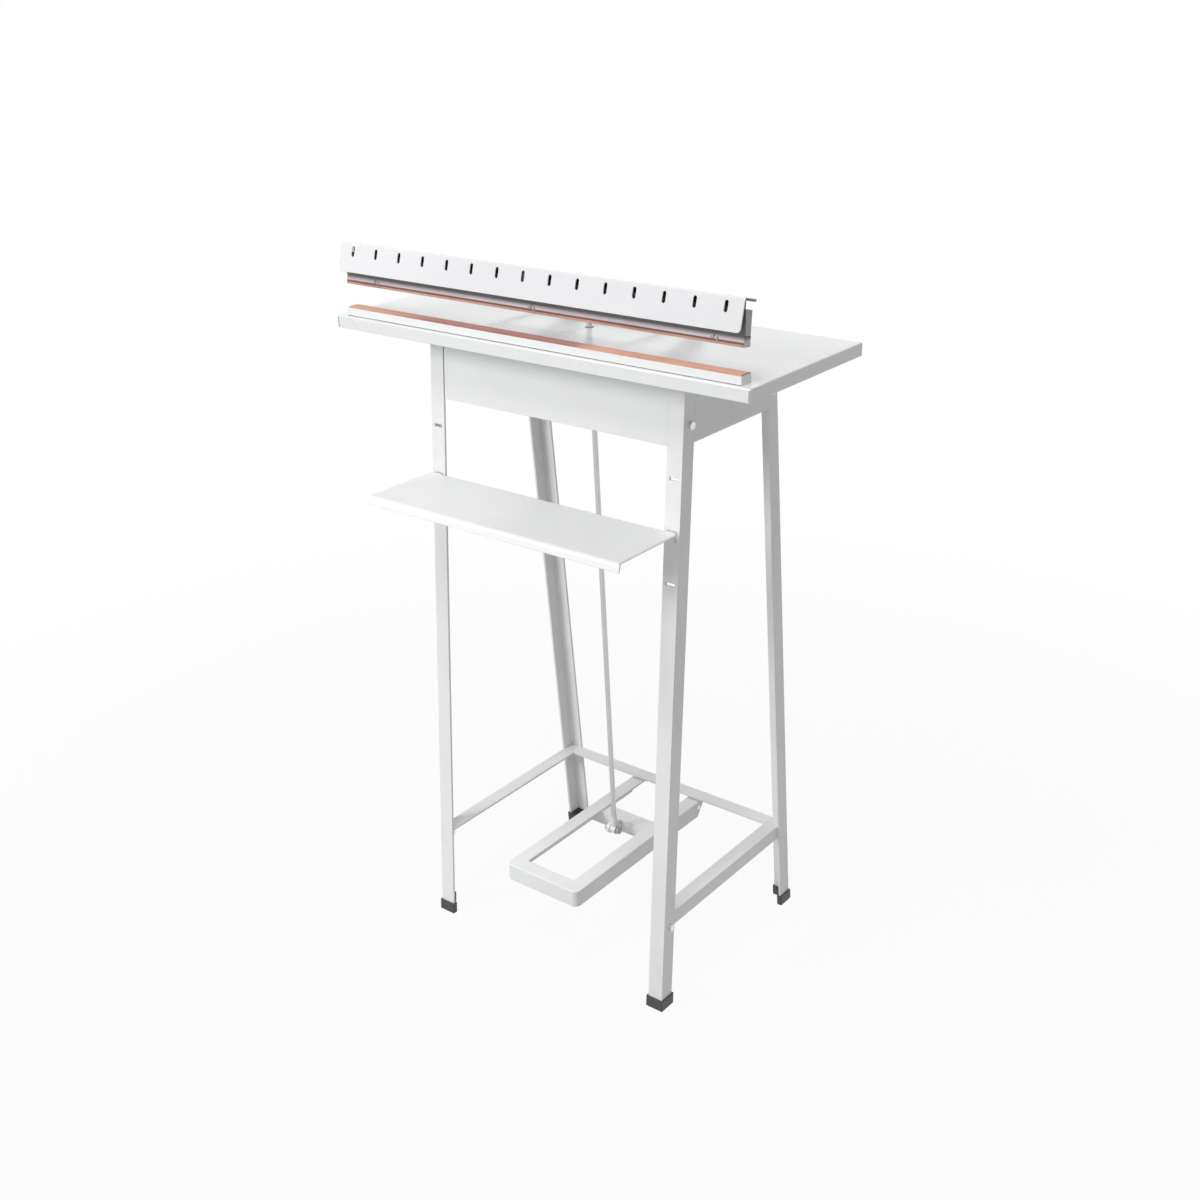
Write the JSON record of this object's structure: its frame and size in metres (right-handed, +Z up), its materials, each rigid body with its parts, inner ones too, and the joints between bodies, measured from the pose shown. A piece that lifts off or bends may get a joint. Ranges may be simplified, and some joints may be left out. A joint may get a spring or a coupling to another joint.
{
  "type": "foot pedal sealer",
  "caption": "Floor-standing bag sealer: a foot pedal pulls a long rod that swings a slotted, heated upper jaw down on a fixed lower jaw at the front of a table.",
  "frame": {"origin": "centre of the bounding box at floor level", "axes": "+Z up, +X along the jaws to the operator's right, -Y towards the operator"},
  "size_m": [0.629, 0.405, 0.9592],
  "materials": {
    "painted_sheet": "pale grey powder coat, satin",
    "painted_iron": "pale grey powder coat over angle iron",
    "foot_plastic": "dark moulded plastic",
    "zinc_steel": "bright zinc plating",
    "rod_steel": "drawn steel rod",
    "spring_steel": "oiled spring wire",
    "bar_aluminium": "extruded aluminium",
    "heater_steel": "heat-tinted steel sheath",
    "dark_channel": "heat-proof dark paint",
    "red_rubber": "silicone rubber",
    "release_tape": "brown woven release tape",
    "black_plastic": "black moulded plastic",
    "rocker_plastic": "red moulded plastic"
  },
  "bodies": {
    "frame": {"table_top": "painted_sheet", "front_left_leg": "painted_iron", "front_left_foot_cap": "foot_plastic", "front_right_leg": "painted_iron", "front_right_foot_cap": "foot_plastic", "rear_left_leg": "painted_iron", "rear_left_foot_cap": "foot_plastic", "rear_right_leg": "painted_iron", "rear_right_foot_cap": "foot_plastic", "left_stretcher": "painted_iron", "right_stretcher": "painted_iron", "rear_stretcher": "painted_iron", "leg_bolts": "zinc_steel", "leg_nuts": "zinc_steel", "front_apron": "painted_sheet", "rear_apron": "painted_sheet", "left_apron": "painted_sheet", "right_apron": "painted_sheet", "lower_jaw_bar": "painted_sheet", "lower_rubber_strip": "red_rubber", "lower_tape": "release_tape", "lower_jaw_screws": "zinc_steel", "left_pivot_bracket": "painted_iron", "right_pivot_bracket": "painted_iron", "jaw_pivot_pins": "zinc_steel", "rod_guide": "painted_iron", "return_spring": "spring_steel", "left_pedal_bracket": "painted_iron", "right_pedal_bracket": "painted_iron", "pedal_hinge_pins": "zinc_steel", "heat_regulator": "black_plastic", "switch_body": "black_plastic", "cord_gland": "black_plastic"},
    "shelf": {"shelf": "painted_sheet", "left_shelf_hook": "painted_iron", "right_shelf_hook": "painted_iron", "shelf_rivets": "zinc_steel"},
    "heated_jaw": {"heating_bar": "bar_aluminium", "cartridge_heater": "heater_steel", "upper_tape": "release_tape", "bar_screws": "zinc_steel", "heater_channel": "dark_channel", "upper_cover": "painted_sheet", "cover_brackets": "zinc_steel", "left_jaw_arm": "painted_iron", "right_jaw_arm": "painted_iron", "arm_screws": "zinc_steel", "arm_crossbar": "painted_iron", "rod_clevis": "painted_iron", "rod_top_pin": "zinc_steel"},
    "pedal": {"pedal_frame": "painted_iron", "pedal_crossbar": "painted_iron", "rod_lug": "painted_iron", "rod_foot_bolt": "zinc_steel", "rod_foot_nut": "zinc_steel"},
    "pull_rod": {"pull_rod": "rod_steel", "rod_eyes": "zinc_steel", "spring_collar": "zinc_steel"},
    "heat_knob": {"heat_knob": "black_plastic"},
    "switch_rocker": {"switch_rocker": "rocker_plastic"}
  },
  "joints": [
    {"name": "jaw_hinge", "type": "hinge", "parent": "frame", "child": "heated_jaw", "pos_m": [0, 0.09751, 0.8892], "axis": [1, 0, 0], "range_deg": [0, 8], "stiffness_Nm_per_rad": 14, "springref_deg": -34.38, "deforming": ["return_spring"]},
    {"name": "pedal_hinge", "type": "hinge", "parent": "frame", "child": "pedal", "pos_m": [0, 0.16351, 0.123], "axis": [1, 0, 0], "range_deg": [0, 5.99]},
    {"name": "rod_pivot", "type": "hinge", "parent": "pedal", "child": "pull_rod", "pos_m": [0, 0.03951, 0.1265], "axis": [1, 0, 0], "range_deg": [-5.91, 0]},
    {"name": "shelf_tilt", "type": "hinge", "parent": "frame", "child": "shelf", "pos_m": [0, -0.07983, 0.6631], "axis": [-1, 0, 0], "range_deg": [0, 15]},
    {"name": "knob_turn", "type": "hinge", "parent": "frame", "child": "heat_knob", "pos_m": [-0.198, -0.00249, 0.8132], "axis": [-1, 0, 0], "range_deg": [0, 270]},
    {"name": "switch_rock", "type": "hinge", "parent": "frame", "child": "switch_rocker", "pos_m": [-0.196, 0.06151, 0.8132], "axis": [0, 0, 1], "range_deg": [-16, 0]}
  ],
  "couplings": [
    {"joint": "pedal_hinge", "follows": "jaw_hinge", "ratio": 0.7456},
    {"joint": "rod_pivot", "follows": "jaw_hinge", "ratio": -0.73567}
  ]
}
